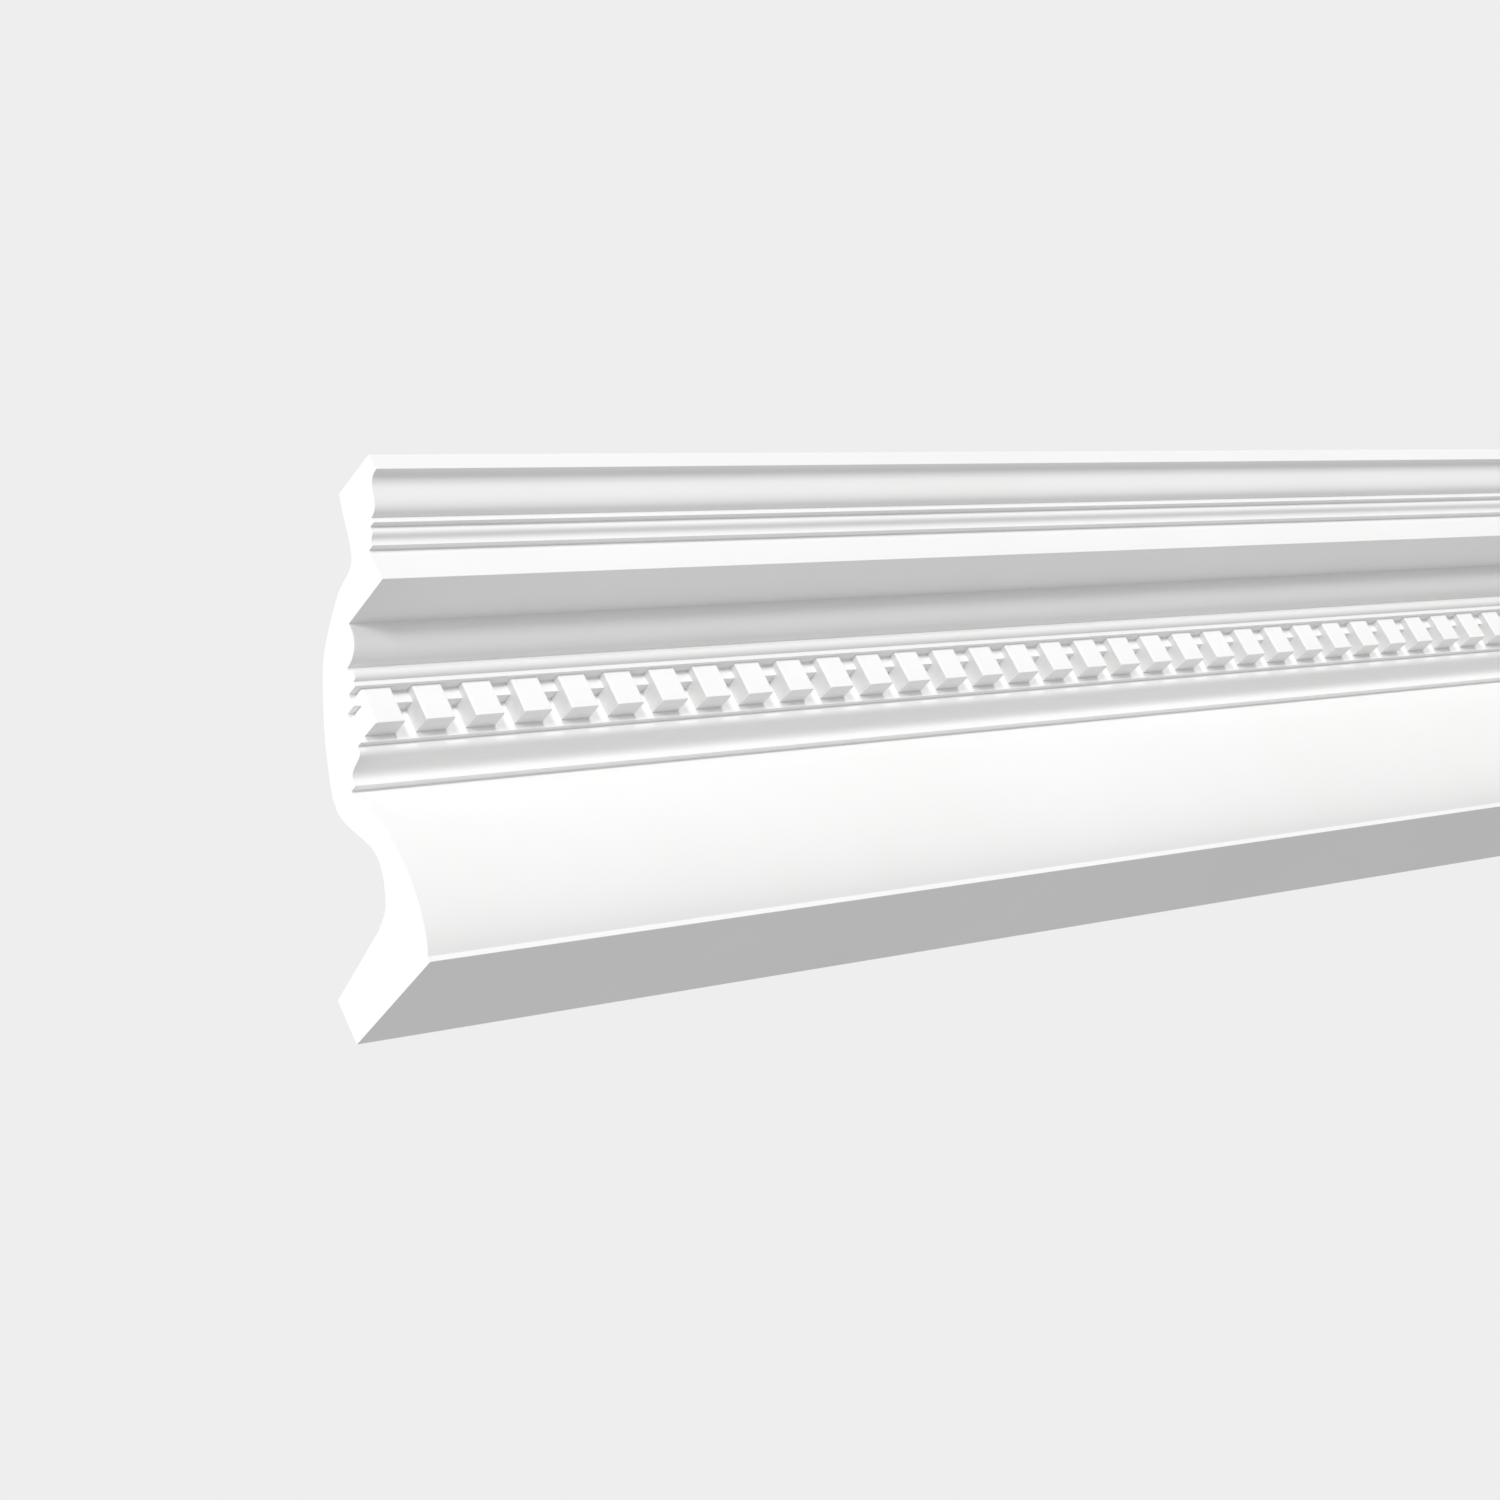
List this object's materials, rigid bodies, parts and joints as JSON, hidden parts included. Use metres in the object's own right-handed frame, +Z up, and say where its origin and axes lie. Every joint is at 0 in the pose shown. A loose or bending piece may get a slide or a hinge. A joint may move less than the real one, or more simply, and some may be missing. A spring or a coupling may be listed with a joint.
{
  "type": "cornice moulding length",
  "caption": "Straight length of white cornice moulding with a dentil course, cut square at both ends, for the angle between a wall and a ceiling.",
  "frame": {"origin": "centre of the wall contact face, the flat strip along the lower back edge", "axes": "+X along the length, +Y into the wall, +Z up towards the ceiling, so the moulded front faces -Y"},
  "size_m": [1, 0.1395, 0.16],
  "materials": {
    "primed_foam": "smooth white factory primer on rigid moulded foam, matt to faintly satin"
  },
  "bodies": {
    "root": {"cornice_moulding": "primed_foam"}
  },
  "joints": []
}
